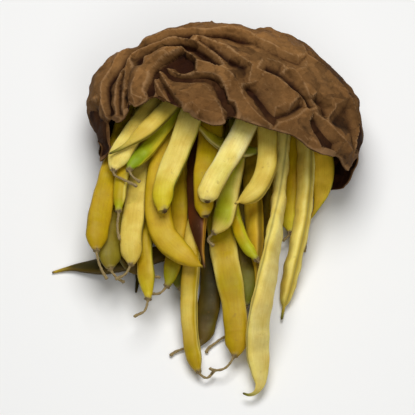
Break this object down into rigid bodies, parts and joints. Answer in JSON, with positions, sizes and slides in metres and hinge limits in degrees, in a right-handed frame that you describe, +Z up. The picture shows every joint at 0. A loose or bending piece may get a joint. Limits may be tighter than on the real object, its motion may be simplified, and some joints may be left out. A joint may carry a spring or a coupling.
{
  "type": "bundle of flat yellow bean pods in a paper bag",
  "caption": "Bundle of flat yellow and green-tinged bean pods spilling from the mouth of a crumpled brown paper bag that lies on its side.",
  "frame": {"origin": "under the middle of the whole bundle, on the surface that it lies on", "axes": "+Z up, +Y from the tips of the beans into the bag, +X to the right of someone who looks into the bag"},
  "size_m": [0.1988, 0.251, 0.0817],
  "materials": {
    "kraft_paper": "matt brown kraft paper, crumpled, with fibres and worn creases",
    "pod_yellow": "pale to golden yellow bean skin with a soft waxy sheen",
    "pod_lime": "yellow-green bean skin with a soft waxy sheen",
    "pod_olive": "dull olive bean skin with a soft waxy sheen",
    "pod_amber": "ripe amber bean skin with a soft waxy sheen"
  },
  "bodies": {
    "root": {"paper_bag": "kraft_paper", "bean_under_left": "pod_olive", "bean_under_right": "pod_olive", "bean_cross_front": "pod_olive", "bean_dark_left": "pod_olive", "bean_dark_middle": "pod_olive", "bean_dark_low": "pod_olive", "bean_dark_low_right": "pod_olive", "bean_olive_far_right": "pod_olive", "bean_narrow_right": "pod_lime", "bean_olive_right": "pod_olive", "bean_green_tip": "pod_lime", "bean_drooping_stalk": "pod_lime", "bean_low_edge": "pod_yellow", "bean_olive_left": "pod_olive", "bean_low_broad": "pod_yellow", "bean_short_right": "pod_lime", "bean_right_crescent": "pod_amber", "bean_seam_behind": "pod_yellow", "bean_brown": "pod_amber", "bean_left_outer": "pod_yellow", "bean_second_left": "pod_yellow", "bean_golden_crescent": "pod_yellow", "bean_edge_left": "pod_lime", "bean_thin_slanting": "pod_lime", "bean_scar_end": "pod_yellow", "bean_green_end": "pod_lime", "bean_long_hooked": "pod_yellow", "bean_long_pointed": "pod_yellow", "bean_golden_hook": "pod_yellow", "bean_cross_inside": "pod_lime", "bean_slant_pale": "pod_yellow", "bean_slant_green": "pod_lime", "bean_slant_beaked": "pod_yellow", "bean_front_broad": "pod_yellow", "bean_top_bright": "pod_yellow"}
  },
  "joints": []
}
